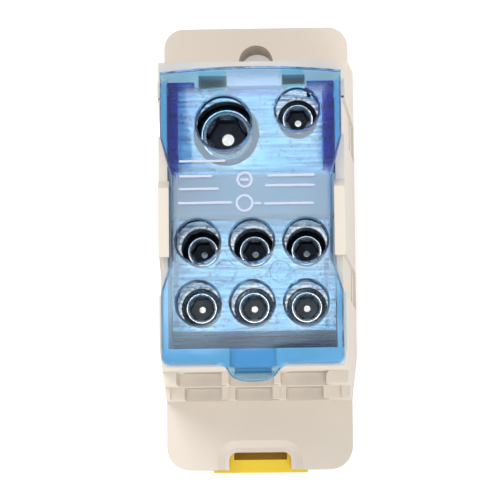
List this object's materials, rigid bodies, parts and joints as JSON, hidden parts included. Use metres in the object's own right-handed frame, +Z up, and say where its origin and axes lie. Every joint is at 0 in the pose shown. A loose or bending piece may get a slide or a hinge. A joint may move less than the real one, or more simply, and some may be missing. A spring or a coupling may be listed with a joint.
{
  "type": "power distribution block",
  "caption": "Rail-mounted power distribution block: a metal bar with screw clamps for input and output wires, in a beige housing with a clear blue hinged cover.",
  "frame": {"origin": "centre of the base's underside, in the plane that rests on a panel", "axes": "+Y towards the input end with the screw hole, -Y towards the output end with the rail clip, +Z up through the cover, X along the rail"},
  "size_m": [0.0316, 0.0724, 0.046],
  "materials": {
    "housing": "fine satin moulded",
    "cover": "clear polished",
    "conductor": "tin plated, sawn and brushed",
    "screws": "dark with bright edges",
    "clip": "satin moulded"
  },
  "bodies": {
    "housing": {"base": "housing", "body_shell": "housing", "conductor_block": "conductor"},
    "cover": {"cover": "cover"},
    "rail_clip": {"rail_clip": "clip"},
    "input_screw_large": {"input_screw_large": "screws"},
    "input_screw_small": {"input_screw_small": "screws"},
    "inner_output_screw_left": {"inner_output_screw_left": "screws"},
    "outer_output_screw_left": {"outer_output_screw_left": "screws"},
    "inner_output_screw_centre": {"inner_output_screw_centre": "screws"},
    "outer_output_screw_centre": {"outer_output_screw_centre": "screws"},
    "inner_output_screw_right": {"inner_output_screw_right": "screws"},
    "outer_output_screw_right": {"outer_output_screw_right": "screws"}
  },
  "joints": [
    {"name": "cover_hinge", "type": "hinge", "parent": "housing", "child": "cover", "pos_m": [0, 0.0204, 0.042], "axis": [-1, 0, 0], "range_deg": [0, 105]},
    {"name": "rail_clip_slide", "type": "slide", "parent": "housing", "child": "rail_clip", "axis": [0, -1, 0], "range_m": [0, 0.003], "stiffness_N_per_m": 3000, "springref_m": -0.0005},
    {"name": "input_screw_large_travel", "type": "slide", "parent": "housing", "child": "input_screw_large", "axis": [0, 0, -1], "range_m": [-0.0022, 0.0045]},
    {"name": "input_screw_small_travel", "type": "slide", "parent": "housing", "child": "input_screw_small", "axis": [0, 0, -1], "range_m": [0, 0.0049]},
    {"name": "inner_output_screw_left_travel", "type": "slide", "parent": "housing", "child": "inner_output_screw_left", "axis": [0, 0, -1], "range_m": [-0.0058, 0.005]},
    {"name": "outer_output_screw_left_travel", "type": "slide", "parent": "housing", "child": "outer_output_screw_left", "axis": [0, 0, -1], "range_m": [0, 0.0049]},
    {"name": "inner_output_screw_centre_travel", "type": "slide", "parent": "housing", "child": "inner_output_screw_centre", "axis": [0, 0, -1], "range_m": [-0.0058, 0.005]},
    {"name": "outer_output_screw_centre_travel", "type": "slide", "parent": "housing", "child": "outer_output_screw_centre", "axis": [0, 0, -1], "range_m": [0, 0.0049]},
    {"name": "inner_output_screw_right_travel", "type": "slide", "parent": "housing", "child": "inner_output_screw_right", "axis": [0, 0, -1], "range_m": [-0.0058, 0.005]},
    {"name": "outer_output_screw_right_travel", "type": "slide", "parent": "housing", "child": "outer_output_screw_right", "axis": [0, 0, -1], "range_m": [0, 0.0049]}
  ]
}
